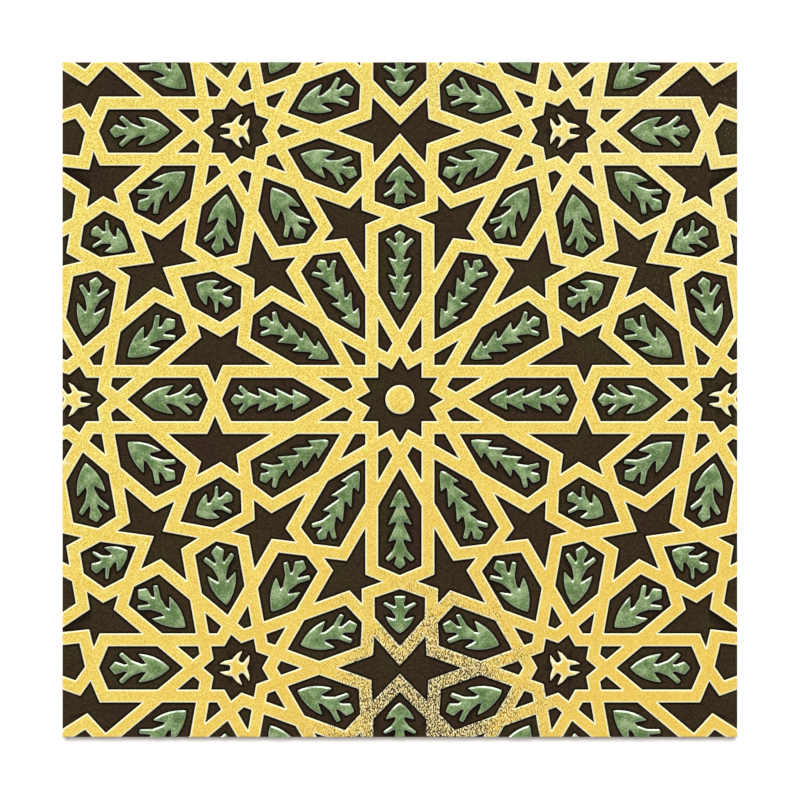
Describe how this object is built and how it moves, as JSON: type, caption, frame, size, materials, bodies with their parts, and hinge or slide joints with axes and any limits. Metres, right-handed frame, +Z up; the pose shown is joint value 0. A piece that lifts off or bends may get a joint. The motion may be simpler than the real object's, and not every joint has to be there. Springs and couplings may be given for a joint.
{
  "type": "geometric tile",
  "caption": "Square glazed ceramic tile with a raised gold strapwork star pattern, dark brown ground and raised green leaves.",
  "frame": {"origin": "centre of the tile's square outline, on the plane its back rests on", "axes": "+Z up out of the decorated face, +X to the right and +Y to the top of the pattern as pictured"},
  "size_m": [0.2, 0.2, 0.008],
  "materials": {
    "tile": "satin glaze, gilded straps, brown ground, green leaves"
  },
  "bodies": {
    "root": {"tile": "tile"}
  },
  "joints": []
}
